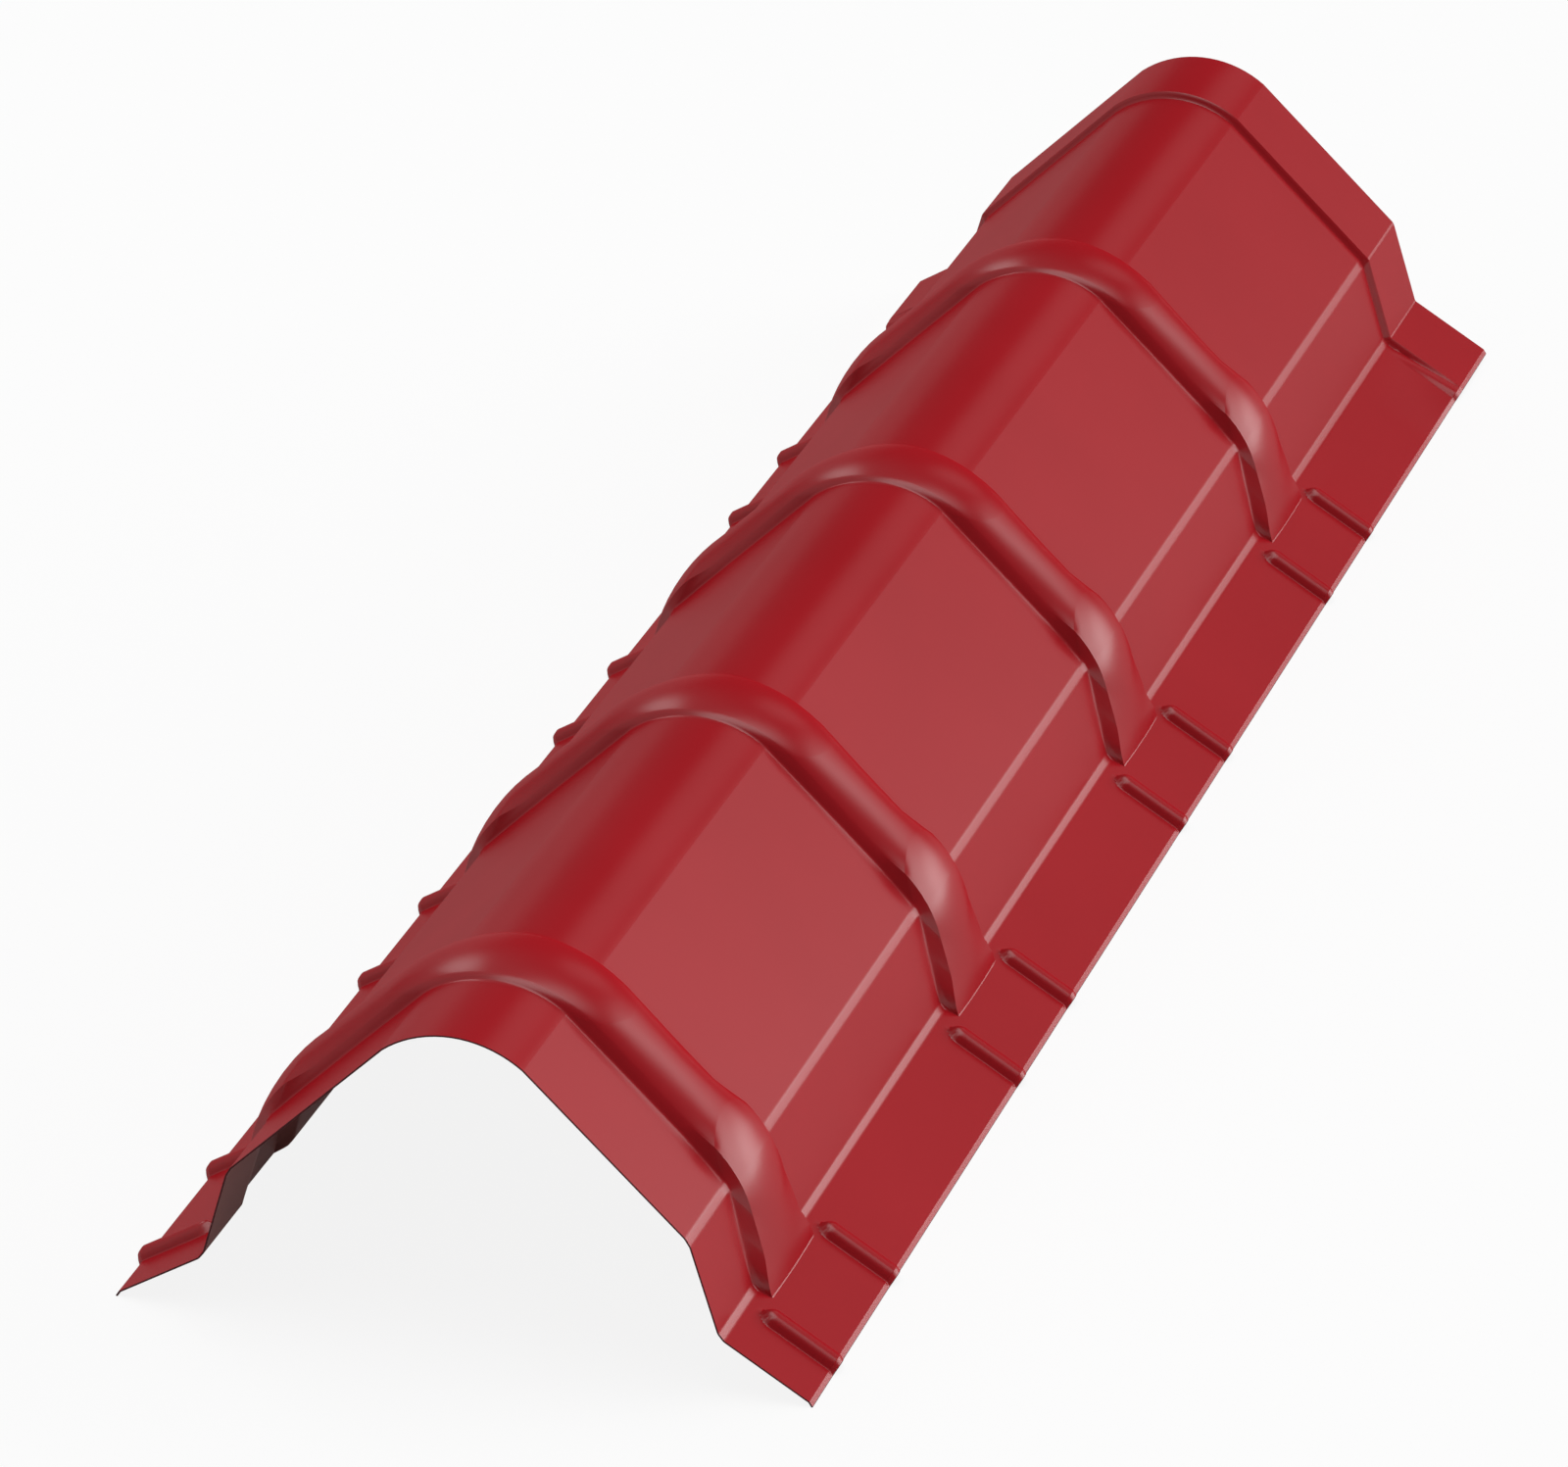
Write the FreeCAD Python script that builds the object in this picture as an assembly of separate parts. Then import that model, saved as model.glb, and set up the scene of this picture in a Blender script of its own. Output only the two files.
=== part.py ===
import FreeCAD, Part
import math
import os

# Roof ridge cap: one pressed sheet, length along Y, width along X, Z up.
# The origin is at the middle of the length, at the level of the two lip edges.
# Sizes in millimetres and degrees, measured on the upper side of the sheet.

# Sheet and plain section
sheet = 0.7
length = 1050.0
lip_width = 286.0
lip_height = 1.6
flange_run = 36.9
flange_rise = 22.5
skirt_run = 11.9
skirt_rise = 39.7
flank_angle = 44.1
crown_half = 28.67
crown_angle = 38.0
knee_radius = 8.0
valley_radius = 5.0
lip_radius = 2.5

# Raised end that laps over the next cap
lap = 50.0
lap_raise = 2.8
lap_ramp = 2.8

# Cross ribs: places along the length, then the crest's own section
rib_pitch = 243.0
rib_first = 68.0
rib_height = 9.5
rib_top_height = 3.6
rib_knee_radius = 40.0
rib_face_angle = 77.4
rib_toe = 8.45

# Rib walls: half width at the foot, run of the wall, and its share of the height
rib_half = 19.9
rib_knee_half = 22.1
rib_skirt_half = 25.2
rib_foot_half = 27.0
rib_wall_run = 2.4
rib_knee_wall_run = 2.9
rib_skirt_wall_run = 4.0
rib_foot_wall_run = 1.4
rib_top_wall = 0.45
rib_flank_wall = 0.38
rib_knee_wall = 0.55
rib_skirt_wall = 0.78
rib_foot_wall = 0.93

# Beads across the flanges: half widths and heights of foot, shoulder and crest
bead_offset = 36.0
bead_gap = 7.0
bead_half = 7.1
bead_shoulder_half = 4.4
bead_shoulder_height = 3.1
bead_crest_half = 1.8
bead_height = 4.0
bead_tip_share = 0.67

# Bulge before the raised end, growing down the flange
bulge_gap = 5.0
bulge_scale = 0.65

# Stages down a rib where its walls change: 1 is the crown's end, 2 the knee's start, 3 the skirt's start
flank_stage = 1.9
knee_stage = 2.5
skirt_stage = 3.5
foot_stage = 3.9
last_stage = 5.0

# Sections of a rib: largest turn between two of them, and how many where it is straighter
rib_turn = 7.0
flank_sections = 3
knee_sections = 2
skirt_sections = 3

# Hidden shapes: depth of a rib's root under the sheet, and how far cutting shapes run on
rib_root = 6.4
run_on = 10.0


def line(a, b):
    return Part.LineSegment(a, b).toShape()


def arc(a, b, c):
    return Part.Arc(a, b, c).toShape()


def unit(v):
    return v * (1.0 / v.Length)


def outward(angle):
    """Normal in the section of a line that falls outwards at the angle."""
    return (math.sin(angle), math.cos(angle))


def shifted(point, direction, distance):
    return (point[0] + direction[0] * distance, point[1] + direction[1] * distance)


def dot(a, b):
    return a[0] * b[0] + a[1] * b[1]


def meet(angle_1, point_1, angle_2, point_2, shift_1, shift_2):
    """Corner of two section lines, each moved outwards."""
    n1 = outward(angle_1)
    n2 = outward(angle_2)
    d1 = dot(n1, point_1) + shift_1
    d2 = dot(n2, point_2) + shift_2
    det = n1[0] * n2[1] - n1[1] * n2[0]
    return ((d1 * n2[1] - d2 * n1[1]) / det, (n1[0] * d2 - n2[0] * d1) / det)


def inner_corner(corner, n1, n2, inset):
    """Corner of two lines of a profile after both are moved in by the inset."""
    share = -inset / (1.0 + dot(n1, n2))
    return (corner[0] + share * (n1[0] + n2[0]), corner[1] + share * (n1[1] + n2[1]))


def eased(a, b, t):
    return a + (b - a) * t * t * (3.0 - 2.0 * t)


def shares(count):
    return [(i + 1.0) / count for i in range(count)]


# Plain section, right half: slopes, normals and corner points
flank = math.radians(flank_angle)
skirt = math.atan2(skirt_rise, skirt_run)
flange = math.atan2(flange_rise, flange_run)
crown = math.radians(crown_angle)
face = math.radians(rib_face_angle)
flange_length = math.hypot(flange_run, flange_rise)
skirt_length = math.hypot(skirt_run, skirt_rise)
half_width = lip_width / 2.0
edge = (half_width, lip_height)
valley = (half_width - flange_run, lip_height + flange_rise)
knee = (valley[0] - skirt_run, valley[1] + skirt_rise)
peak = knee[1] + knee[0] * math.tan(flank)
crease = (crown_half, peak - crown_half * math.tan(flank))
crown_radius = crown_half / math.sin(crown)
crown_centre = (0.0, crease[1] - crown_radius * math.cos(crown))
top = crown_centre[1] + crown_radius
near_end = -length / 2.0
far_end = length / 2.0
step = far_end - lap


def rounded(points, radii):
    """Edges of an open outline whose inner corners are rounded."""
    edges = []
    start = points[0]
    for before, corner, after, radius in zip(points, points[1:], points[2:], radii):
        u = unit(before - corner)
        w = unit(after - corner)
        half = u.getAngle(w) / 2.0
        run = radius / math.tan(half)
        middle = corner + unit(u + w) * (radius / math.sin(half) - radius)
        edges.append(line(start, corner + u * run))
        edges.append(arc(corner + u * run, middle, corner + w * run))
        start = corner + w * run
    edges.append(line(start, points[-1]))
    return edges


def outline(y, inset, lift, low):
    """Closed section at y: inset goes into the sheet, lift is the lap raise."""
    move = lift - inset
    lip_move = lift * math.sin(flange) - inset
    k = meet(flank, knee, skirt, knee, move, move)
    j = meet(skirt, valley, flange, valley, move, move)
    e = meet(flange, edge, math.pi / 2.0, edge, move, lip_move)
    c = inner_corner(crease, outward(crown), outward(flank), -move)
    right = [FreeCAD.Vector(x, y, z) for x, z in (c, k, j, e, (e[0], low))]
    left = [FreeCAD.Vector(-p.x, y, p.z) for p in reversed(right)]
    radii = [knee_radius + move, valley_radius - move, lip_radius - inset]
    edges = rounded(left, radii[::-1])
    edges.append(arc(left[-1], FreeCAD.Vector(0, y, top + move), right[0]))
    edges.extend(rounded(right, radii))
    edges.append(line(right[-1], left[0]))
    return Part.Wire(edges)


def body(inset):
    """Filled plain cap with its raised lap end, under one side of the sheet."""
    over = 0.0
    low = 0.0
    low_lap = lap_raise * math.cos(flange)
    if inset > 0:
        over = run_on
        low = -run_on
        low_lap = -run_on
    slide = inset * math.tan(math.atan2(lap_raise, lap_ramp) / 2.0)
    sections = [
        outline(near_end - over, inset, 0.0, low),
        outline(step + slide, inset, 0.0, low),
        outline(step + lap_ramp + slide, inset, lap_raise, low_lap),
        outline(far_end + over, inset, lap_raise, low_lap),
    ]
    return Part.makeLoft(sections, True, True)


# Crest of a rib in the section: a crown arc, the flank line, a knee arc and the face line
flank_crest = shifted(knee, outward(flank), rib_height)
toe = shifted(valley, (math.cos(flange), -math.sin(flange)), rib_toe)
rib_peak = peak + rib_height / math.cos(flank)
rib_crown_radius = (rib_peak - top - rib_top_height) / (1.0 / math.cos(flank) - 1.0)
rib_crown_centre = (0.0, top + rib_top_height - rib_crown_radius)
rib_knee_centre = meet(flank, flank_crest, face, toe, -rib_knee_radius, -rib_knee_radius)


def crest_height(place, normal):
    """Distance from a place on the plain section to the crest, along the normal."""
    height = min(dot(outward(a), (p[0] - place[0], p[1] - place[1])) / dot(outward(a), normal)
                 for a, p in ((flank, flank_crest), (face, toe)))
    meeting = shifted(place, normal, height)
    for centre, radius, first, last in (
            (rib_crown_centre, rib_crown_radius, 0.0, flank),
            (rib_knee_centre, rib_knee_radius, flank, face)):
        if first <= math.atan2(meeting[0] - centre[0], meeting[1] - centre[1]) < last:
            off = (place[0] - centre[0], place[1] - centre[1])
            half = dot(off, normal)
            height = math.sqrt(half ** 2 - dot(off, off) + radius ** 2) - half
    return height


def rib_places():
    """Places of a rib's sections down the right half: stage, point and normal."""
    flank_n = outward(flank)
    skirt_n = outward(skirt)
    knee_centre = meet(flank, knee, skirt, knee, -knee_radius, -knee_radius)
    flank_end = shifted(knee_centre, flank_n, knee_radius)
    skirt_start = shifted(knee_centre, skirt_n, knee_radius)
    down_skirt = (math.cos(skirt), -math.sin(skirt))
    flank_run = (flank_end[0] - crease[0], flank_end[1] - crease[1])
    flank_length = math.hypot(flank_run[0], flank_run[1])
    bent_run = rib_knee_radius * math.tan((face - flank) / 2.0)
    crown_tangent = (rib_crown_radius - rib_height) * math.sin(flank)
    crown_share = (crown_tangent - crease[0]) / flank_run[0]
    knee_share = 1.0 - bent_run / flank_length
    places = []
    for t in shares(int(math.ceil(crown_angle / rib_turn))):
        normal = outward(t * crown)
        places.append((t, shifted(crown_centre, normal, crown_radius), normal))
    along_flank = [crown_share * t for t in shares(flank_sections)] + [knee_share]
    along_flank.extend([knee_share + (1.0 - knee_share) * t for t in shares(knee_sections)])
    places.extend([(1.0 + t, shifted(crease, flank_run, t), flank_n) for t in along_flank])
    for t in shares(int(math.ceil(math.degrees(skirt - flank) / rib_turn))):
        normal = outward(flank + t * (skirt - flank))
        places.append((2.0 + t, shifted(knee_centre, normal, knee_radius), normal))
    bent_share = bent_run / skirt_length
    foot_share = foot_stage - 3.0
    along_skirt = [bent_share * t for t in shares(knee_sections)]
    along_skirt.extend([bent_share + (foot_share - bent_share) * t for t in shares(skirt_sections)])
    along_skirt.append(1.0 + (rib_toe + run_on) / skirt_length)
    for t in along_skirt:
        places.append((3.0 + t, shifted(skirt_start, down_skirt, t * skirt_length), skirt_n))
    return places


# Rib walls at stages from the apex to below the flange
rib_walls = [
    (0.0, (rib_half, rib_wall_run, rib_top_wall)),
    (1.0, (rib_half, rib_wall_run, rib_top_wall)),
    (flank_stage, (rib_half, rib_wall_run, rib_flank_wall)),
    (knee_stage, (rib_knee_half, rib_knee_wall_run, rib_knee_wall)),
    (skirt_stage, (rib_skirt_half, rib_skirt_wall_run, rib_skirt_wall)),
    (foot_stage, (rib_foot_half, rib_foot_wall_run, rib_foot_wall)),
    (last_stage, (rib_foot_half, rib_foot_wall_run, rib_foot_wall)),
]


def wall_at(stage):
    """Half width, wall run and wall share of the height at a stage of the rib."""
    for (s0, low), (s1, high) in zip(rib_walls, rib_walls[1:]):
        if stage <= s1:
            return [eased(a, b, (stage - s0) / (s1 - s0)) for a, b in zip(low, high)]


def rib_section(side, stage, place, normal, y, inset):
    """Closed rib section standing on the sheet: two walls under a bowed crown."""
    half, run, share = wall_at(stage)
    height = crest_height(place, normal)
    wall = share * height
    shoulder = half - run
    bow = height - wall
    radius = (shoulder ** 2 + bow ** 2) / (2.0 * bow)
    slope = math.hypot(run, wall)
    wall_n = (wall / slope, run / slope)
    crown_n = (shoulder / radius, (radius - bow) / radius)
    across, up = inner_corner((shoulder, wall), wall_n, crown_n, inset)
    foot = across + (up + rib_root) * run / wall

    def at(offset, level):
        x, z = shifted(place, normal, level)
        return FreeCAD.Vector(side * x, y + offset, z)

    return Part.Wire([
        line(at(-foot, -rib_root), at(-across, up)),
        arc(at(-across, up), at(0, height - inset), at(across, up)),
        line(at(across, up), at(foot, -rib_root)),
        line(at(foot, -rib_root), at(-foot, -rib_root)),
    ])


def rib(y, inset):
    """One rib over the crown, both flanks and both skirts, down into the flanges."""
    places = rib_places()
    sections = [rib_section(-1, stage, p, n, y, inset) for stage, p, n in reversed(places)]
    sections.append(rib_section(1, 0.0, (0.0, top), (0.0, 1.0), y, inset))
    sections.extend([rib_section(1, stage, p, n, y, inset) for stage, p, n in places])
    return Part.makeLoft(sections, True, True)


def bead_corners(scale, depth, inset):
    """Half widths and levels of a bead's root, shoulder and crest, moved in by the inset."""
    foot = (bead_half, 0.0)
    shoulder = (bead_shoulder_half, bead_shoulder_height * scale)
    crest = (bead_crest_half, bead_height * scale)
    wall_n = outward(math.atan2(shoulder[1] - foot[1], foot[0] - shoulder[0]))
    bow_n = outward(math.atan2(crest[1] - shoulder[1], shoulder[0] - crest[0]))
    shoulder = inner_corner(shoulder, wall_n, bow_n, inset)
    crest = inner_corner(crest, bow_n, (0.0, 1.0), inset)
    root = shoulder[0] + (shoulder[1] + depth) * wall_n[1] / wall_n[0]
    return [(root, -depth), shoulder, crest]


def flange_frame(side):
    """Directions down the flange and off it, and the point of the valley corner."""
    down = FreeCAD.Vector(side * math.cos(flange), 0, -math.sin(flange))
    off = FreeCAD.Vector(side * math.sin(flange), 0, math.cos(flange))
    return down, off, FreeCAD.Vector(side * valley[0], 0, valley[1])


def bead(y, side, inset):
    """One bead across a flange, pointed at its inner end and open at the lip."""
    depth = lip_height
    reach = flange_length
    if inset > 0:
        depth = run_on / 2.0
        reach = flange_length + run_on
    down, off, corner = flange_frame(side)
    start = bead_gap + bead_half

    def plan(half, level):
        def at(distance, across):
            return corner + down * distance + off * level + FreeCAD.Vector(0, y + across, 0)

        middle = start - half / 2.0
        bulged = bead_tip_share * half
        return Part.Wire([
            line(at(reach, -half), at(start, -half)),
            arc(at(start, -half), at(middle, -bulged), at(start - half, 0)),
            arc(at(start - half, 0), at(middle, bulged), at(start, half)),
            line(at(start, half), at(reach, half)),
            line(at(reach, half), at(reach, -half)),
        ])

    levels = bead_corners(1.0, depth, inset)
    return Part.makeLoft([plan(half, level) for half, level in levels], True, True)


def bulge(y, side, inset):
    """Bulge of the flange at the raised end: a bead that comes up out of the flange."""
    height = bead_height * bulge_scale
    depth = lip_height
    reach = flange_length
    if inset > 0:
        depth = run_on / 2.0
        reach = flange_length + run_on
    down, off, corner = flange_frame(side)
    corners = bead_corners(bulge_scale, depth, inset)
    start = corner + down * bulge_gap - off * height
    climb = height / (flange_length - bulge_gap)
    around = [(-half, level) for half, level in corners] + corners[::-1]
    points = [start + FreeCAD.Vector(0, y + across, 0) + off * level for across, level in around]
    profile = Part.makePolygon(points + points[:1])
    return Part.Face(profile).extrude((down + off * climb) * (reach - bulge_gap))


def pressing(inset):
    """Everything under one side of the pressed sheet."""
    last = step - rib_first / 2.0
    count = int((last - near_end - rib_first) / rib_pitch) + 1
    ribs = [near_end + rib_first + i * rib_pitch for i in range(count)]
    beads = [y + k * bead_offset for y in ribs for k in (-1, 1)]
    tools = [rib(y, inset) for y in ribs]
    tools.extend([bead(y, side, inset) for y in beads for side in (-1, 1)])
    tools.extend([bulge(step + lap_ramp / 2.0, side, inset) for side in (-1, 1)])
    return body(inset).multiFuse(tools)


cap = pressing(0.0).cut(pressing(sheet)).removeSplitter()
if len(cap.Solids) == 1:
    cap = cap.Solids[0]
os.makedirs("parts", exist_ok=True)
cap.exportStep("parts/ridge_cap.step")
box = cap.BoundBox
print("solids", len(cap.Solids), "valid", cap.isValid(), "faces", len(cap.Faces))
print("volume", round(cap.Volume, 1), "length", round(box.YLength, 2), "width", round(box.XLength, 2))
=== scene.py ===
import math

import bpy
import numpy as np
from mathutils import Matrix, Vector


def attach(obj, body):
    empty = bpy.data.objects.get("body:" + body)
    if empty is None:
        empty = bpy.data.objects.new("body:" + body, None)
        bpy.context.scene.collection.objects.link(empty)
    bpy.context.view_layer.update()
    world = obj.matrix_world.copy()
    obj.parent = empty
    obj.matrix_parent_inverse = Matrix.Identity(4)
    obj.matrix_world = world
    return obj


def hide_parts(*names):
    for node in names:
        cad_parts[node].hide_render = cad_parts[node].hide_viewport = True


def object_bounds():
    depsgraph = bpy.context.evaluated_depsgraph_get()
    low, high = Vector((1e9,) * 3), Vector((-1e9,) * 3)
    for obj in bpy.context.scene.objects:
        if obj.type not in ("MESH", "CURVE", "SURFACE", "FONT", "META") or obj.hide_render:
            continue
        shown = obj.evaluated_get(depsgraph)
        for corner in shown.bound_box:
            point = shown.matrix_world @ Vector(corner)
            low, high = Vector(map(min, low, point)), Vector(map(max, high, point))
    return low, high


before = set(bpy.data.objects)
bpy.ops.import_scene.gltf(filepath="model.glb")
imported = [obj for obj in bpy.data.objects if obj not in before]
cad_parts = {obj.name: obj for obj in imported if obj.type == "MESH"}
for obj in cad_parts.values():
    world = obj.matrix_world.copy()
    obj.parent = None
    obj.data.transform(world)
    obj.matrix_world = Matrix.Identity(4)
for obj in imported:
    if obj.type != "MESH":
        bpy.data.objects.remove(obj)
cad_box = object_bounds()

# Sizes of the pressed sheet, in metres, measured on its upper side
MM = 0.001
SHEET = 0.7 * MM
LENGTH = cad_box[1][1] - cad_box[0][1]
HALF_WIDTH = 143.0 * MM
LIP_HEIGHT = 1.6 * MM
FLANGE_RUN = 36.9 * MM
FLANGE_RISE = 22.5 * MM
SKIRT_RUN = 11.9 * MM
SKIRT_RISE = 39.7 * MM
FLANK_ANGLE = math.radians(44.1)
CROWN_HALF = 28.67 * MM
CROWN_ANGLE = math.radians(38.0)
KNEE_RADIUS = 8.0 * MM
VALLEY_RADIUS = 5.0 * MM
LIP_SETBACK = 1.45 * MM
LIP_RUN = 2.3 * MM
LIP_ANGLE = math.radians(58.0)
LIP_ROUND = 0.25 * MM

# Share of a bend's narrow flat that is rounded off, on the sheet and on the rib's knee
BEND_ROUND = 0.35
RIB_KNEE_ROUND = 1.0

# Raised end that laps over the next cap
LAP = 50.0 * MM
LAP_RAISE = 2.8 * MM
LAP_RAMP = 2.8 * MM
LAP_KNEE_RADIUS = 2.5 * MM
LAP_VALLEY_RADIUS = 1.2 * MM

# Cross ribs: where they stand, and the section of their crest
RIB_COUNT = 4
RIB_PITCH = 243.0 * MM
RIB_FIRST = 68.0 * MM
RIB_HEIGHT = 9.5 * MM
RIB_TOP_HEIGHT = 3.4 * MM
RIB_KNEE_RADIUS = 40.0 * MM
RIB_FACE_ANGLE = math.radians(77.4)
RIB_TOE = 8.45 * MM
RIB_TOE_RADIUS = 0.6 * MM

# Rib shape at stations along the section: half width, the top's share of it, the wall's share of
# the height, and how far before its foot the sheet begins to turn up
RIB_STATIONS = {
    "apex": (20.5 * MM, 0.87, 0.45, 2.0 * MM),
    "crown_end": (20.5 * MM, 0.86, 0.45, 2.5 * MM),
    "flank_end": (20.8 * MM, 0.84, 0.38, 4.0 * MM),
    "knee": (22.8 * MM, 0.84, 0.66, 5.0 * MM),
    "skirt_middle": (26.0 * MM, 0.80, 0.80, 4.5 * MM),
    "skirt_low": (27.6 * MM, 0.92, 0.92, 1.5 * MM),
    "valley": (27.8 * MM, 0.925, 0.95, 0.3 * MM),
}

# Places of the stations between the bends: back from the knee, and down the skirt, as shares
FLANK_END_BACK = 0.1
SKIRT_MIDDLE = 0.5
SKIRT_LOW = 0.88

# Rib foot: half of its round as a share of the half width, the turn-up's angle, the crest's least bow
RIB_FOOT = 0.03
TURN_UP = math.radians(12.0)
LEAST_BOW = 0.05 * MM

# Beads across the flanges, before and after each rib's middle, and the power that points their ends
BEAD_BEFORE = 37.9 * MM
BEAD_AFTER = 34.3 * MM
BEAD_HALF = 5.6 * MM
BEAD_HEIGHT = 4.0 * MM
BEAD_GAP = 7.0 * MM
BEAD_WALL_HEIGHT = 3.5 * MM
BEAD_TOP_HALF = 2.6 * MM
BEAD_FOOT = 0.3 * MM
BEAD_LEAD = 0.4 * MM
BEAD_POINT = 1.3

# Bulge before the raised end, growing down the flange
BULGE_HALF = 8.0 * MM
BULGE_SHARE = 0.65
BULGE_GAP = 5.0 * MM

# Mesh divisions along the section, from the apex to the lip, and the margin beside each bend
CROWN_STEPS = 9
FLANK_STEPS = 4
SKIRT_STEPS = 7
BEND_STEPS = 4
DOME_STEPS = 10
FLANGE_STEPS = 3
LIP_STEPS = 1
BEND_MARGIN = 0.4 * MM

# Mesh divisions along the length, with the rows of a rib's foot in parts of RIB_FOOT
RIB_STEPS = 24
FOOT_ROWS = (0, 0.7, 1.4, 2.0)
BEAD_STEPS = 4
LEAD_STEPS = 3
ROW_GAP = 0.2 * MM
PLAIN_STEPS = 3
LAP_STEPS = 24

# Edges that turn by more than this stay sharp in the shading
SHARP_ANGLE = math.radians(28)

# Columns at which the parts of the section start, with the steps that two margins and a bend add
MARGIN_STEPS = 2
BEND_COLUMNS = 2 * BEND_STEPS + 1
FLANK_COLUMN = CROWN_STEPS
KNEE_COLUMN = FLANK_COLUMN + FLANK_STEPS + MARGIN_STEPS
SKIRT_COLUMN = KNEE_COLUMN + BEND_COLUMNS
VALLEY_COLUMN = SKIRT_COLUMN + SKIRT_STEPS + MARGIN_STEPS
FLANGE_COLUMN = VALLEY_COLUMN + BEND_COLUMNS

# Places and directions that follow from the sizes
SKIRT_ANGLE = math.atan2(SKIRT_RISE, SKIRT_RUN)
FLANGE_ANGLE = math.atan2(FLANGE_RISE, FLANGE_RUN)
FLANGE_LENGTH = math.hypot(FLANGE_RUN, FLANGE_RISE)
FLANGE_DOWN = np.array([math.cos(FLANGE_ANGLE), -math.sin(FLANGE_ANGLE)])
FLANGE_UP = np.array([math.sin(FLANGE_ANGLE), math.cos(FLANGE_ANGLE)])
VALLEY = np.array([HALF_WIDTH - FLANGE_RUN, LIP_HEIGHT + FLANGE_RISE])
KNEE = np.array([VALLEY[0] - SKIRT_RUN, VALLEY[1] + SKIRT_RISE])
EDGE = np.array([HALF_WIDTH, LIP_HEIGHT])
NEAR_END = -LENGTH / 2
FAR_END = LENGTH / 2
STEP = FAR_END - LAP
BULGE_MIDDLE = STEP + LAP_RAMP / 2
RIB_MIDDLES = [NEAR_END + RIB_FIRST + i * RIB_PITCH for i in range(RIB_COUNT)]
BEAD_REACH = BEAD_HALF + BEAD_LEAD

# Coats: lowest and highest colour and roughness, and their texture scales per metre
RED_COLOURS = ((0.343, 0.006, 0.011), (0.375, 0.008, 0.014))
RED_ROUGHNESS = (0.45, 0.60)
RED_SPECULAR = 0.0
RED_CLOUD_SCALE = 7.0
RED_PEEL_SCALE = 700.0
RED_PEEL_STRENGTH = 0.03
GLOSS_WEIGHT = 0.115
GLOSS_ROUGHNESS = 0.26
GLOSS_IOR = 4.0
BACK_COLOURS = ((0.24, 0.085, 0.075), (0.28, 0.105, 0.095))
BACK_ROUGHNESS = (0.55, 0.70)
BACK_SPECULAR = 0.05
BACK_CLOUD_SCALE = 9.0
BACK_PEEL_SCALE = 600.0
BACK_PEEL_STRENGTH = 0.06
# Dark red-brown of the cut edges: painted shade for the dark line along the sheet's edges, where bare
# sheared steel is zinc grey
EDGE_PAINTED_SHADE_COLOURS = ((0.06, 0.010, 0.012), (0.09, 0.016, 0.018))
EDGE_ROUGHNESS = (0.35, 0.55)
EDGE_SPECULAR = 0.1
EDGE_GRAIN_SCALE = 900.0
EDGE_GRAIN_STRETCH = (1, 1, 0.2)
STREAK_SCALE = 60.0
STREAK_STRETCH = (1, 0.03, 1)
STREAK_DETAIL = 2.0
GRAIN_DETAIL = 2.0
CLOUD_DETAIL = 3.0
PEEL_DETAIL = 1.0
PEEL_DEPTH = 0.05 * MM
RAMP_ENDS = (0.3, 0.7)

# Studio: a white floor in a dim room
FLOOR_SIZE = 60.0
FLOOR_COLOUR = (0.9, 0.9, 0.9, 1)
WHITE = (1, 1, 1, 1)
WHITE_LEVEL = 1.0
WHITE_SHARE = 0.88
ROOM_LEVEL = 0.06

# Soft lights: azimuth from the far end towards the right, elevation, inner and outer half angle, level
SOFT_LIGHTS = (
    (60, 80, 10, 34, 2.5),
    (62, 12, 8, 30, 2.9),
    (37, 1, 7, 17, 5.0),
    (48, 14, 8, 30, 1.5),
    (10, 30, 4, 13, 0.8),
    (-33, 3, 5, 18, 0.6),
    (-42, 31, 4, 11, 3.8),
    (-80, 45, 20, 60, 0.5),
)

# Camera: place, turn in degrees with azimuth from the near end, focal length in the photograph's pixels
CAMERA_PLACE = (1.0274, -3.2061, 1.6596)
CAMERA_AZIMUTH = 18.433
CAMERA_ELEVATION = 25.952
CAMERA_ROLL = -0.492
FOCAL_PIXELS = 8749.7
IMAGE_WIDTH = 1600
SENSOR_WIDTH = 36.0
VIEW_DEPTH = 100


# Section of the sheet

def outward(angle):
    """Unit normal of a section line that falls outwards at the angle."""
    return np.array([math.sin(angle), math.cos(angle)])


def meet(angle_a, point_a, angle_b, point_b):
    """Point where two section lines cross."""
    normals = np.array([outward(angle_a), outward(angle_b)])
    return np.linalg.solve(normals, np.array([normals[0] @ point_a, normals[1] @ point_b]))


def corner_sides(before, corner, after):
    """Directions from a corner to the points beside it, and half the angle between them."""
    u = (before - corner) / np.linalg.norm(before - corner)
    w = (after - corner) / np.linalg.norm(after - corner)
    return u, w, math.acos(np.clip(u @ w, -1, 1)) / 2


def arc(before, corner, after, setback):
    """Points of the round that cuts a corner at a distance along both sides."""
    u, w, half = corner_sides(before, corner, after)
    centre = corner + (u + w) / np.linalg.norm(u + w) * setback / math.cos(half)
    start = corner + u * setback - centre
    end = corner + w * setback - centre
    turn = math.pi - 2 * half
    points = []
    for t in np.linspace(0, 1, BEND_STEPS + 1):
        swept = math.sin((1 - t) * turn) * start + math.sin(t * turn) * end
        points.append(centre + swept / math.sin(turn))
    return points


def bend(before, corner, after, radius, rounding):
    """Pressed bend of a given radius: a narrow flat with a round on each side of it."""
    u, w, half = corner_sides(before, corner, after)
    setback = radius / math.tan(half)
    first = corner + u * setback
    second = corner + w * setback
    round_off = rounding * np.linalg.norm(second - first) / 2
    return arc(before, first, second, round_off) + arc(first, second, after, round_off)


def along(start, end, shares):
    """Places at shares of the way from a start to an end."""
    return [start + t * (end - start) for t in shares]


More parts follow.
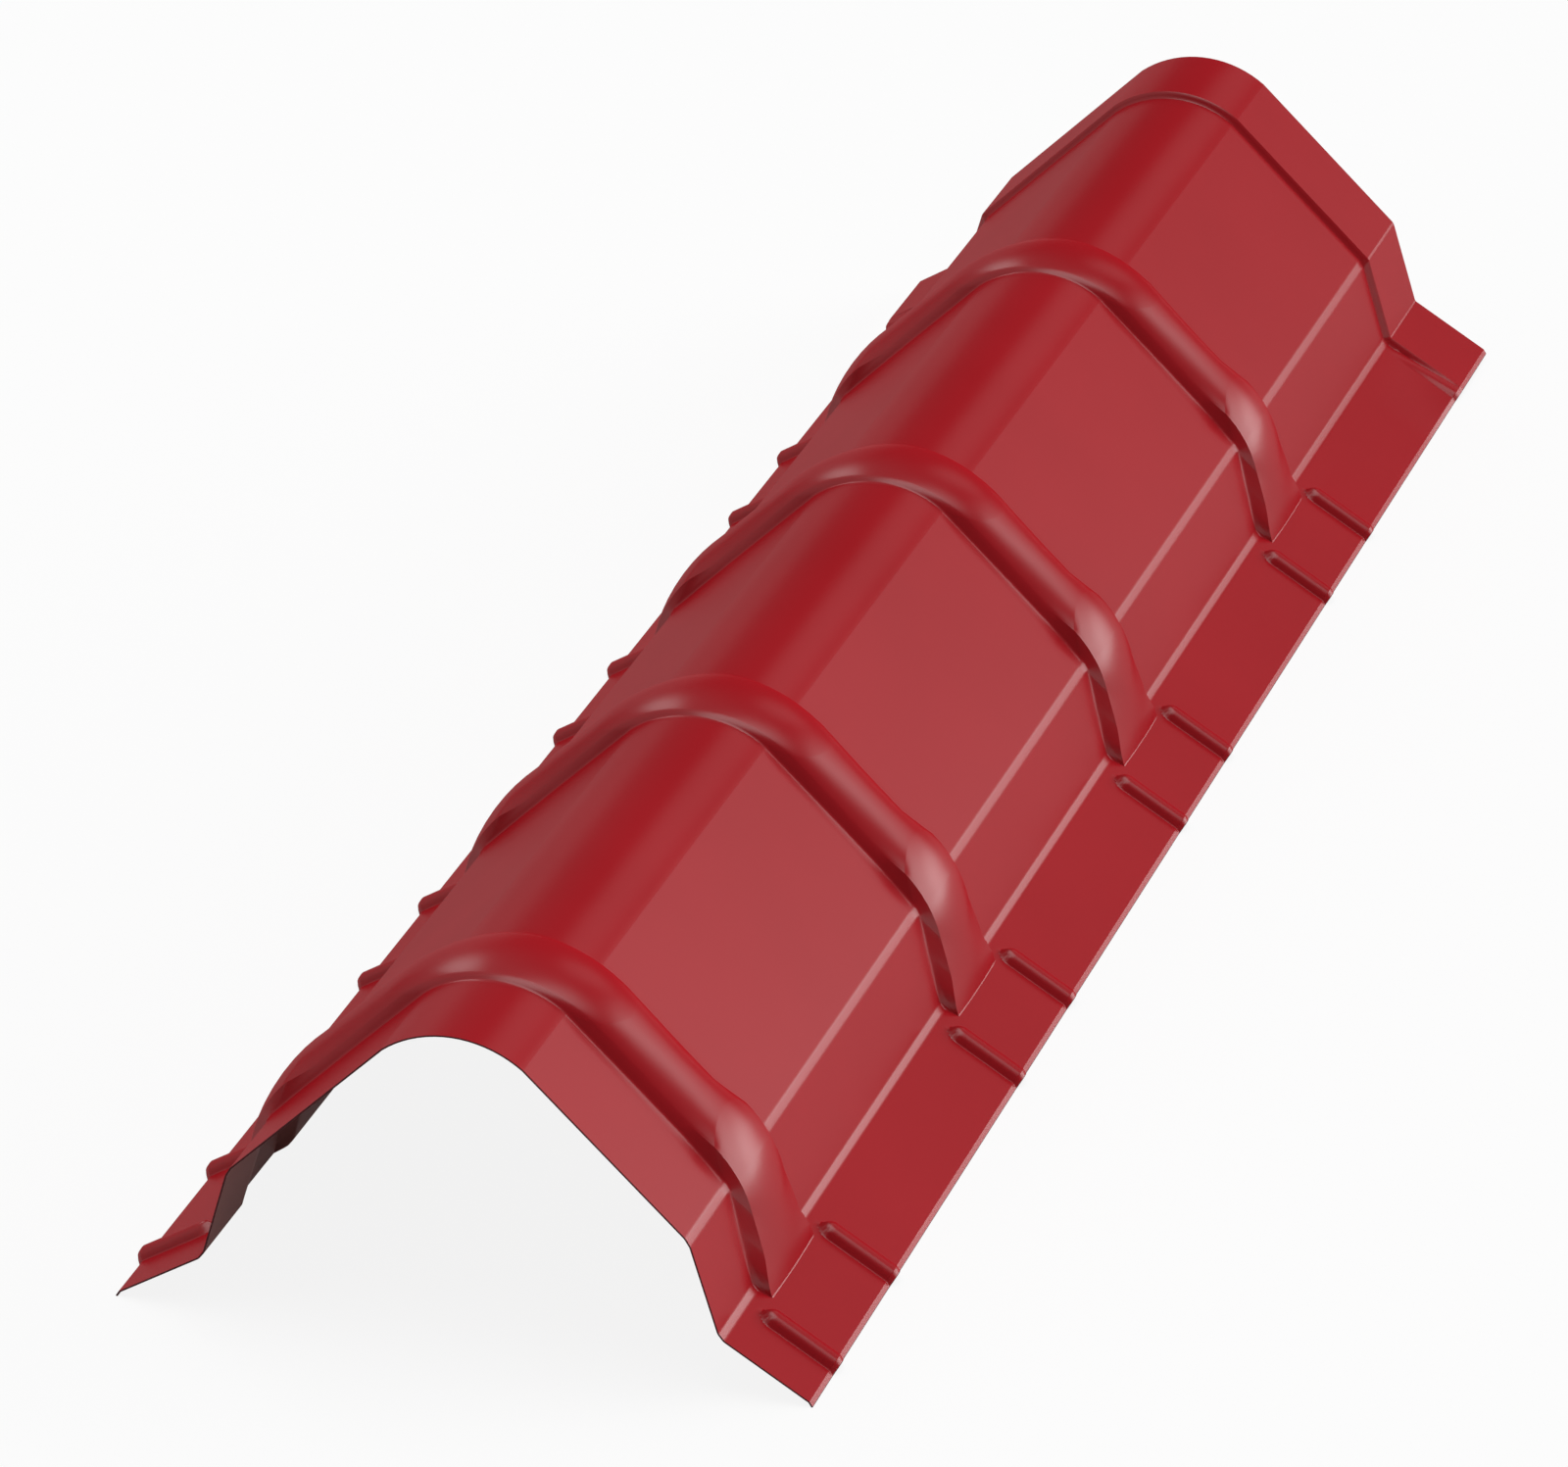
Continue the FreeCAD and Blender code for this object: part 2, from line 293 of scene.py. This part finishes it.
def straight(start, end, steps):
    """Points between two ends, without the ends, with one close to each."""
    margin = BEND_MARGIN / np.linalg.norm(end - start)
    return along(start, end, [margin, *np.linspace(0, 1, steps + 1)[1:-1], 1 - margin])


def down_flange(start, end):
    """Points between the flange's two bends, closer together where the beads begin."""
    run = np.linalg.norm(end - start)
    margin = BEND_MARGIN / run
    dome_end = (BEAD_GAP + BEAD_HALF) / run
    dome = np.linspace(0, dome_end, DOME_STEPS + 1)[1:]
    plain = np.linspace(dome_end, 1, FLANGE_STEPS + 1)[1:-1]
    return along(start, end, [margin, *dome, *plain, 1 - margin])


def half_section(flank_point, side_angle, side_point, flange_point, edge_x, radii, knee_round, low):
    """Right half of a section as points from the apex to the lip, always the same number of them."""
    crown_half, crown_angle, knee_radius, valley_radius = radii
    knee = meet(FLANK_ANGLE, flank_point, side_angle, side_point)
    valley = meet(side_angle, side_point, FLANGE_ANGLE, flange_point)
    edge = meet(FLANGE_ANGLE, flange_point, math.pi / 2, np.array([edge_x, 0.0]))
    peak = knee[1] + knee[0] * math.tan(FLANK_ANGLE)
    crown_radius = crown_half / math.sin(crown_angle)
    crown_end = peak - crown_half * math.tan(FLANK_ANGLE)
    centre = np.array([0.0, crown_end - crown_radius * math.cos(crown_angle)])
    crown = [centre + crown_radius * outward(t) for t in np.linspace(0, crown_angle, CROWN_STEPS + 1)]
    lip_start = edge - LIP_SETBACK * FLANGE_DOWN
    lip_end = lip_start + LIP_RUN * np.array([math.cos(LIP_ANGLE), -math.sin(LIP_ANGLE)])
    tip = np.array([lip_end[0], low])
    knee_bend = bend(crown[-1], knee, valley, knee_radius, knee_round)
    valley_bend = bend(knee, valley, edge, valley_radius, BEND_ROUND)
    lip_bend = arc(valley, lip_start, lip_end, LIP_ROUND)
    flank = straight(crown[-1], knee_bend[0], FLANK_STEPS)
    skirt = straight(knee_bend[-1], valley_bend[0], SKIRT_STEPS)
    flange = down_flange(valley_bend[-1], lip_bend[0])
    lip = straight(lip_bend[-1], lip_end, LIP_STEPS) + [lip_end, tip]
    return np.array(crown + flank + knee_bend + skirt + valley_bend + flange + lip_bend + lip)


def plain_section():
    """Section of the sheet between its ribs."""
    radii = (CROWN_HALF, CROWN_ANGLE, KNEE_RADIUS, VALLEY_RADIUS)
    return half_section(KNEE, SKIRT_ANGLE, KNEE, EDGE, HALF_WIDTH, radii, BEND_ROUND, 0.0)


def lap_section():
    """Section of the raised end: the plain one moved outwards, with tighter bends."""
    crown_half = CROWN_HALF + LAP_RAISE * math.sin((CROWN_ANGLE + FLANK_ANGLE) / 2)
    radii = (crown_half, CROWN_ANGLE, LAP_KNEE_RADIUS, LAP_VALLEY_RADIUS)
    return half_section(
        KNEE + LAP_RAISE * outward(FLANK_ANGLE), SKIRT_ANGLE, KNEE + LAP_RAISE * outward(SKIRT_ANGLE),
        EDGE + LAP_RAISE * FLANGE_UP, HALF_WIDTH + LAP_RAISE * math.sin(FLANGE_ANGLE), radii,
        BEND_ROUND, LAP_RAISE * math.cos(FLANGE_ANGLE))


def rib_section(plain_top):
    """Section along a rib's crest, over a sheet whose apex is at the given height."""
    peak = KNEE[1] + KNEE[0] * math.tan(FLANK_ANGLE) + RIB_HEIGHT / math.cos(FLANK_ANGLE)
    crown_radius = (peak - plain_top - RIB_TOP_HEIGHT) / (1 / math.cos(FLANK_ANGLE) - 1)
    radii = (crown_radius * math.sin(FLANK_ANGLE), FLANK_ANGLE, RIB_KNEE_RADIUS, RIB_TOE_RADIUS)
    return half_section(
        KNEE + RIB_HEIGHT * outward(FLANK_ANGLE), RIB_FACE_ANGLE, VALLEY + RIB_TOE * FLANGE_DOWN,
        EDGE, HALF_WIDTH, radii, RIB_KNEE_ROUND, 0.0)


plain_half = plain_section()
lap_half = lap_section()
rib_half = rib_section(plain_half[0, 1])


def eased(x, xs, ys):
    """Values between stations, level at each station."""
    xs = np.asarray(xs)
    ys = np.asarray(ys)
    i = np.clip(np.searchsorted(xs, x, side="right") - 1, 0, len(xs) - 2)
    t = np.clip((x - xs[i]) / (xs[i + 1] - xs[i]), 0, 1)
    return ys[i] + (ys[i + 1] - ys[i]) * t * t * (3 - 2 * t)


def rib_columns():
    """Half width, top's share of it, wall's share of the height and turn-up run, for each column."""
    gaps = np.linalg.norm(np.diff(plain_half, axis=0), axis=1)
    distance = np.concatenate([[0.0], np.cumsum(gaps)])
    flank, knee, skirt, valley = distance[[FLANK_COLUMN, KNEE_COLUMN, SKIRT_COLUMN, VALLEY_COLUMN]]
    skirt_length = valley - skirt
    places = {
        "apex": 0.0,
        "crown_end": flank,
        "flank_end": knee - FLANK_END_BACK * knee,
        "knee": (knee + skirt) / 2,
        "skirt_middle": skirt + SKIRT_MIDDLE * skirt_length,
        "skirt_low": skirt + SKIRT_LOW * skirt_length,
        "valley": valley,
    }
    stations = np.array([RIB_STATIONS[name] for name in places])
    return [eased(distance, list(places.values()), values) for values in stations.T]


# Length of the sheet

def turn_up(distance, run):
    """Rise of the sheet before a foot, from 0 at the run's start, on into the wall."""
    return math.tan(TURN_UP) * np.clip(distance, 0, None) ** 2 / (2 * run)


def rib_weight(share, wall_share, wall_rise, slope):
    """Height of the rib, from 0 at its foot to 1 at its crest, across its half width."""
    a = np.abs(share)
    theta = np.arcsin(np.clip(a / wall_share, 0, 1) * np.sin(slope))
    crest = wall_rise + (1 - wall_rise) * (np.cos(theta) - np.cos(slope)) / (1 - np.cos(slope))
    steep = wall_rise / (1 - RIB_FOOT - wall_share)
    foot = steep * np.maximum(1 - a, 0) ** 2 / (4 * RIB_FOOT)
    wall = np.where(a < 1 - 2 * RIB_FOOT, steep * (1 - RIB_FOOT - a), foot)
    return np.clip(np.where(a < wall_share, crest, wall), 0, 1)


def bead_profile(off):
    """Height of a bead at a distance from its middle line: turn-up, foot round, steep wall, bowed top."""
    steep = BEAD_WALL_HEIGHT / (BEAD_HALF - BEAD_FOOT - BEAD_TOP_HALF)
    foot = steep * np.maximum(BEAD_HALF - off, 0) ** 2 / (4 * BEAD_FOOT)
    wall = np.where(off < BEAD_HALF - 2 * BEAD_FOOT, steep * (BEAD_HALF - BEAD_FOOT - off), foot)
    bow = (BEAD_HEIGHT - BEAD_WALL_HEIGHT) * (1 - (off / BEAD_TOP_HALF) ** 2)
    height = np.where(off < BEAD_TOP_HALF, BEAD_WALL_HEIGHT + bow, wall)
    below_top = np.clip(1 - height / BEAD_WALL_HEIGHT, 0, 1)
    return height + below_top * turn_up(BEAD_REACH - off, BEAD_LEAD)


def bead_rise(fall, y):
    """Height of the flange beads and of the bulge at the raised end, at a distance down the flange."""
    before_start = np.maximum(BEAD_GAP + BEAD_HALF - fall, 0)
    rise = np.zeros_like(y)
    for rib in RIB_MIDDLES:
        for middle in (rib - BEAD_BEFORE, rib + BEAD_AFTER):
            beside = np.abs(y - middle)
            off = (beside ** BEAD_POINT + before_start ** BEAD_POINT) ** (1 / BEAD_POINT)
            rise = np.maximum(rise, bead_profile(off))
    grown = np.clip((fall - BULGE_GAP) / (FLANGE_LENGTH - BULGE_GAP), 0, 1)
    off = np.abs(y - BULGE_MIDDLE) * BEAD_HALF / BULGE_HALF
    return np.maximum(rise, BULGE_SHARE * grown * bead_profile(off))


def lead_shares():
    """Rows over a turn-up, as shares of its run that are left before the foot."""
    return np.linspace(1, 0, LEAD_STEPS + 1)[:-1]


def plain_rows(places):
    """Rows that lie on no rib."""
    return [(y, None) for y in places]


def between(start, end):
    """Places that divide a plain stretch evenly, without its ends."""
    return along(start, end, np.linspace(0, 1, PLAIN_STEPS + 1)[1:-1])


def bead_rows(middle, near_half, far_half):
    """Rows over a bead, with its half width on the near and the far side."""
    top = BEAD_TOP_HALF / BEAD_HALF
    foot = BEAD_FOOT / BEAD_HALF
    side = [1 + t * BEAD_LEAD / BEAD_HALF for t in lead_shares()]
    side += [1, 1 - foot, 1 - 2 * foot, (1 + top) / 2]
    shares = [-s for s in side] + list(np.linspace(-top, top, BEAD_STEPS + 1)) + side[::-1]
    return plain_rows(middle + s * (far_half if s > 0 else near_half) for s in shares)


def rib_rows(middle, half_width, wall_share, slope, lead):
    """Rows over a rib, each with its share of the half width: foot, crest and foot."""
    foot = [1 + t * lead / half_width for t in lead_shares()]
    foot += [1 - RIB_FOOT * t for t in FOOT_ROWS]
    turns = np.linspace(-1, 1, RIB_STEPS + 1)
    crest = [wall_share * np.sin(t * slope) / np.sin(slope) for t in turns]
    shares = [-s for s in foot] + crest + foot[::-1]
    return [(middle + s * half_width, s) for s in shares]


def length_rows(half_width, wall_share, slope, lead):
    """Rows along the length: the place at each column, and the share of a rib's half width or None."""
    rib_reach = half_width + lead + ROW_GAP
    before_half = BEAD_HALF * np.minimum(BEAD_BEFORE - rib_reach, BEAD_REACH) / BEAD_REACH
    after_half = BEAD_HALF * np.minimum(BEAD_AFTER - rib_reach, BEAD_REACH) / BEAD_REACH
    rows = plain_rows([NEAR_END])
    last = NEAR_END
    for middle in RIB_MIDDLES:
        before = middle - BEAD_BEFORE
        after = middle + BEAD_AFTER
        rows += plain_rows(between(last, before - BEAD_REACH))
        rows += bead_rows(before, BEAD_HALF, before_half)
        rows += rib_rows(middle, half_width, wall_share, slope, lead)
        rows += bead_rows(after, after_half, BEAD_HALF)
        last = after + BEAD_REACH
    lap_start = BULGE_MIDDLE - BULGE_HALF
    lap_end = BULGE_MIDDLE + BULGE_HALF
    rows += plain_rows(between(last, lap_start))
    rows += plain_rows(np.linspace(lap_start, lap_end, LAP_STEPS + 1))
    rows += plain_rows(between(lap_end, FAR_END) + [FAR_END])
    return rows


def sheet_grid():
    """Upper side of the sheet as a grid of points, rows along the length and columns across."""
    half_width, wall_share, wall_rise, lead = rib_columns()
    to_rib = rib_half - plain_half
    to_lap = lap_half - plain_half
    height = np.linalg.norm(to_rib, axis=1)
    bow = np.maximum((1 - wall_rise) * height, LEAST_BOW)
    slope = 2 * np.arctan(bow / (wall_share * half_width))
    fall = (plain_half - VALLEY) @ FLANGE_DOWN
    on_flange = np.arange(len(fall)) >= FLANGE_COLUMN
    grid = []
    for place, share in length_rows(half_width, wall_share, slope, lead):
        y = np.full(len(fall), place)
        weight = np.zeros(len(fall))
        if share is not None:
            weight = rib_weight(share, wall_share, wall_rise, slope)
            before = turn_up((1 - np.abs(share)) * half_width + lead, lead) / np.maximum(height, lead)
            weight = weight + np.clip(1 - weight / wall_rise, 0, 1) * before
        lift = eased(y, (STEP, STEP + LAP_RAMP), (0.0, 1.0))
        points = plain_half + weight[:, None] * to_rib + lift[:, None] * to_lap
        extra = np.maximum(bead_rise(fall, y) - lift * LAP_RAISE, 0) * on_flange
        points = points + extra[:, None] * FLANGE_UP
        right = np.column_stack([points[:, 0], y, points[:, 1]])
        left = right[:0:-1] * np.array([-1, 1, 1])
        grid.append(np.vstack([left, right]))
    return np.array(grid)


def grid_normals(grid):
    """Upward unit normals of the grid's points."""
    lengthwise = np.gradient(grid, axis=0)
    crosswise = np.gradient(grid, axis=1)
    normals = np.cross(crosswise, lengthwise)
    return normals / np.linalg.norm(normals, axis=2, keepdims=True)


def place_object(name, data):
    """New object in the scene."""
    placed = bpy.data.objects.new(name, data)
    bpy.context.collection.objects.link(placed)
    return placed


def build_sheet():
    """Closed mesh of the sheet: upper side, under side and the cut edges between them."""
    upper = sheet_grid()
    rows, columns = upper.shape[:2]
    lower = upper - SHEET * grid_normals(upper)
    index = np.arange(rows * columns).reshape(rows, columns)
    corners = [index[:-1, :-1], index[:-1, 1:], index[1:, 1:], index[1:, :-1]]
    quads = np.stack(corners, -1).reshape(-1, 4)
    under = quads[:, ::-1] + rows * columns
    loop = np.concatenate([index[0, :-1], index[:-1, -1], index[-1, :0:-1], index[:0:-1, 0]])
    following = np.roll(loop, -1)
    rim = np.stack([following, loop, loop + rows * columns, following + rows * columns], -1)
    faces = np.vstack([quads, under, rim])
    points = np.vstack([upper.reshape(-1, 3), lower.reshape(-1, 3)])
    mesh = bpy.data.meshes.new("ridge_sheet")
    mesh.from_pydata(points.tolist(), [], faces.tolist())
    for material in (red_coat(), back_coat(), cut_edge_painted_shade()):
        mesh.materials.append(material)
    red, back, cut = range(3)
    coats = np.array([red] * len(quads) + [back] * len(under) + [cut] * len(rim), dtype=np.int32)
    upper_coats = coats[:len(quads)].reshape(rows - 1, columns - 1)
    # The lip's turned-down tip faces on the upper side take the edge's dark painted shade too
    upper_coats[:, [0, -1]] = cut
    mesh.polygons.foreach_set("material_index", coats)
    mesh.polygons.foreach_set("use_smooth", np.ones(len(faces), dtype=bool))
    mesh.set_sharp_from_angle(angle=SHARP_ANGLE)
    mesh.validate()
    return place_object("ridge_sheet", mesh)


# Finish

def add_node(tree, kind, inputs, **settings):
    """New node with its settings, and its inputs set to numbers or colours or linked to outputs."""
    node = tree.nodes.new(kind)
    for name, value in settings.items():
        setattr(node, name, value)
    for key, value in inputs.items():
        if isinstance(value, bpy.types.NodeSocket):
            tree.links.new(value, node.inputs[key])
        else:
            node.inputs[key].default_value = value
    return node


def math_node(tree, operation, *values):
    """Output of a math node over numbers and other nodes' outputs."""
    return add_node(tree, "ShaderNodeMath", dict(enumerate(values)), operation=operation).outputs[0]


class Finish:
    """Node material with a few helpers for textures over the part's own coordinates."""

    def __init__(self, name):
        self.material = bpy.data.materials.new(name)
        self.material.use_nodes = True
        self.tree = self.material.node_tree
        self.shader = self.tree.nodes["Principled BSDF"]
        self.where = self.tree.nodes.new("ShaderNodeTexCoord").outputs["Object"]

    def put(self, socket, value):
        """Set a number on the shader's own socket."""
        self.shader.inputs[socket].default_value = value

    def join(self, socket, texture):
        """Link a texture to the shader."""
        self.tree.links.new(texture, self.shader.inputs[socket])

    def noise(self, scale, detail, stretch=(1, 1, 1)):
        """Level of a noise, from 0 to 1, stretched along the part's axes."""
        place = add_node(self.tree, "ShaderNodeMapping", {"Vector": self.where, "Scale": stretch})
        inputs = {"Vector": place.outputs["Vector"], "Scale": scale, "Detail": detail}
        return add_node(self.tree, "ShaderNodeTexNoise", inputs).outputs["Fac"]

    def colours(self, source, low, high):
        """Colour between two, by a texture's level."""
        node = add_node(self.tree, "ShaderNodeValToRGB", {"Fac": source})
        for element, position, colour in zip(node.color_ramp.elements, RAMP_ENDS, (low, high)):
            element.position = position
            element.color = (*colour, 1)
        return node.outputs["Color"]

    def spread(self, source, low, high):
        """Number between two, by a texture's level."""
        inputs = {"Value": source, "To Min": low, "To Max": high}
        return add_node(self.tree, "ShaderNodeMapRange", inputs).outputs["Result"]

    def bump(self, source, strength, depth):
        """Normal that follows a texture's level."""
        inputs = {"Height": source, "Strength": strength, "Distance": depth}
        return add_node(self.tree, "ShaderNodeBump", inputs).outputs["Normal"]


def coil_coat(name, colours, roughness, cloud_scale, peel_scale, peel_strength):
    """Coil coating, faintly clouded, with a fine peel and faint rolling streaks."""
    finish = Finish(name)
    streak = finish.noise(STREAK_SCALE, STREAK_DETAIL, STREAK_STRETCH)
    cloud = finish.noise(cloud_scale, CLOUD_DETAIL)
    peel = finish.noise(peel_scale, PEEL_DETAIL)
    finish.join("Base Color", finish.colours(cloud, *colours))
    finish.join("Roughness", finish.spread(streak, *roughness))
    finish.join("Normal", finish.bump(peel, peel_strength, PEEL_DEPTH))
    return finish


def red_coat():
    """Deep red coat of the upper side, with a satin gloss."""
    finish = coil_coat(
        "red_coat", RED_COLOURS, RED_ROUGHNESS, RED_CLOUD_SCALE, RED_PEEL_SCALE, RED_PEEL_STRENGTH)
    finish.put("Specular IOR Level", RED_SPECULAR)
    finish.put("Coat Weight", GLOSS_WEIGHT)
    finish.put("Coat Roughness", GLOSS_ROUGHNESS)
    finish.put("Coat IOR", GLOSS_IOR)
    return finish.material


def back_coat():
    """Thin reddish brown coat of the under side."""
    finish = coil_coat(
        "back_coat", BACK_COLOURS, BACK_ROUGHNESS, BACK_CLOUD_SCALE, BACK_PEEL_SCALE, BACK_PEEL_STRENGTH)
    finish.put("Specular IOR Level", BACK_SPECULAR)
    return finish.material


def cut_edge_painted_shade():
    """Sheared edge of the sheet, coloured dark red-brown as painted shade along the edges."""
    finish = Finish("cut_edge_painted_shade")
    grain = finish.noise(EDGE_GRAIN_SCALE, GRAIN_DETAIL, EDGE_GRAIN_STRETCH)
    finish.join("Base Color", finish.colours(grain, *EDGE_PAINTED_SHADE_COLOURS))
    finish.join("Roughness", finish.spread(grain, *EDGE_ROUGHNESS))
    finish.put("Specular IOR Level", EDGE_SPECULAR)
    return finish.material


# Studio

def floor_material():
    """Floor that is white to the camera and in reflections, and keeps a faint shadow."""
    material = bpy.data.materials.new("studio_floor")
    material.use_nodes = True
    material.cycles.emission_sampling = "NONE"
    tree = material.node_tree
    tree.nodes.clear()
    ray = tree.nodes.new("ShaderNodeLightPath").outputs
    seen = math_node(tree, "MAXIMUM", ray["Is Camera Ray"], ray["Is Glossy Ray"])
    seen = math_node(tree, "MAXIMUM", seen, ray["Is Transmission Ray"])
    share = math_node(tree, "MULTIPLY", seen, WHITE_SHARE)
    diffuse = add_node(tree, "ShaderNodeBsdfDiffuse", {"Color": FLOOR_COLOUR}).outputs[0]
    white = add_node(tree, "ShaderNodeEmission", {"Strength": WHITE_LEVEL}).outputs[0]
    blend = add_node(tree, "ShaderNodeMixShader", {"Fac": share, 1: diffuse, 2: white}).outputs[0]
    add_node(tree, "ShaderNodeOutputMaterial", {"Surface": blend})
    return material


def build_floor():
    """Wide level floor at the height of the lips."""
    mesh = bpy.data.meshes.new("floor")
    s = FLOOR_SIZE / 2
    mesh.from_pydata([(-s, -s, 0), (s, -s, 0), (s, s, 0), (-s, s, 0)], [], [(0, 1, 2, 3)])
    mesh.materials.append(floor_material())
    floor = place_object("floor", mesh)


def direction(azimuth, elevation):
    """Unit direction, from degrees: azimuth from the far end towards the right, and elevation."""
    a = math.radians(azimuth)
    e = math.radians(elevation)
    return math.sin(a) * math.cos(e), math.cos(a) * math.cos(e), math.sin(e)


def soft_light(tree, where, azimuth, elevation, inner, outer, level):
    """Level of one round light with a smooth edge, by the direction in the world."""
    inputs = {0: where, 1: direction(azimuth, elevation)}
    facing = add_node(tree, "ShaderNodeVectorMath", inputs, operation="DOT_PRODUCT")
    inputs = {
        "Value": facing.outputs["Value"],
        "From Min": math.cos(math.radians(outer)),
        "From Max": math.cos(math.radians(inner)),
        "To Max": level,
    }
    return add_node(tree, "ShaderNodeMapRange", inputs, interpolation_type="SMOOTHSTEP").outputs["Result"]


def build_world():
    """Soft round lights above the horizon, in a dim room."""
    world = bpy.data.worlds.new("studio")
    bpy.context.scene.world = world
    world.use_nodes = True
    tree = world.node_tree
    where = tree.nodes.new("ShaderNodeTexCoord").outputs["Generated"]
    level, *others = [soft_light(tree, where, *light) for light in SOFT_LIGHTS]
    for light in others:
        level = math_node(tree, "ADD", level, light)
    height = add_node(tree, "ShaderNodeSeparateXYZ", {0: where}).outputs["Z"]
    above = math_node(tree, "GREATER_THAN", height, 0.0)
    background = tree.nodes["Background"]
    background.inputs["Color"].default_value = WHITE
    strength = math_node(tree, "MULTIPLY_ADD", level, above, ROOM_LEVEL)
    tree.links.new(strength, background.inputs["Strength"])


def build_camera():
    """Pinhole view of the photograph."""
    azimuth = math.radians(CAMERA_AZIMUTH)
    roll = math.radians(CAMERA_ROLL)
    x, y, z = direction(CAMERA_AZIMUTH, CAMERA_ELEVATION)
    back = Vector((x, -y, z))
    right = Vector((math.cos(azimuth), math.sin(azimuth), 0))
    up = back.cross(right)
    turned_right = math.cos(roll) * right + math.sin(roll) * up
    turned_up = -math.sin(roll) * right + math.cos(roll) * up
    data = bpy.data.cameras.new("camera")
    data.sensor_fit = "HORIZONTAL"
    data.sensor_width = SENSOR_WIDTH
    data.lens = SENSOR_WIDTH * FOCAL_PIXELS / IMAGE_WIDTH
    data.clip_end = VIEW_DEPTH
    camera = place_object("camera", data)
    turn = Matrix((turned_right, turned_up, back)).transposed()
    camera.matrix_world = Matrix.Translation(CAMERA_PLACE) @ turn.to_4x4()
    bpy.context.scene.camera = camera


sheet = build_sheet()
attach(sheet, "root")
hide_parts("ridge_cap")

build_floor()
build_world()
build_camera()
bpy.context.scene.view_settings.view_transform = "Standard"
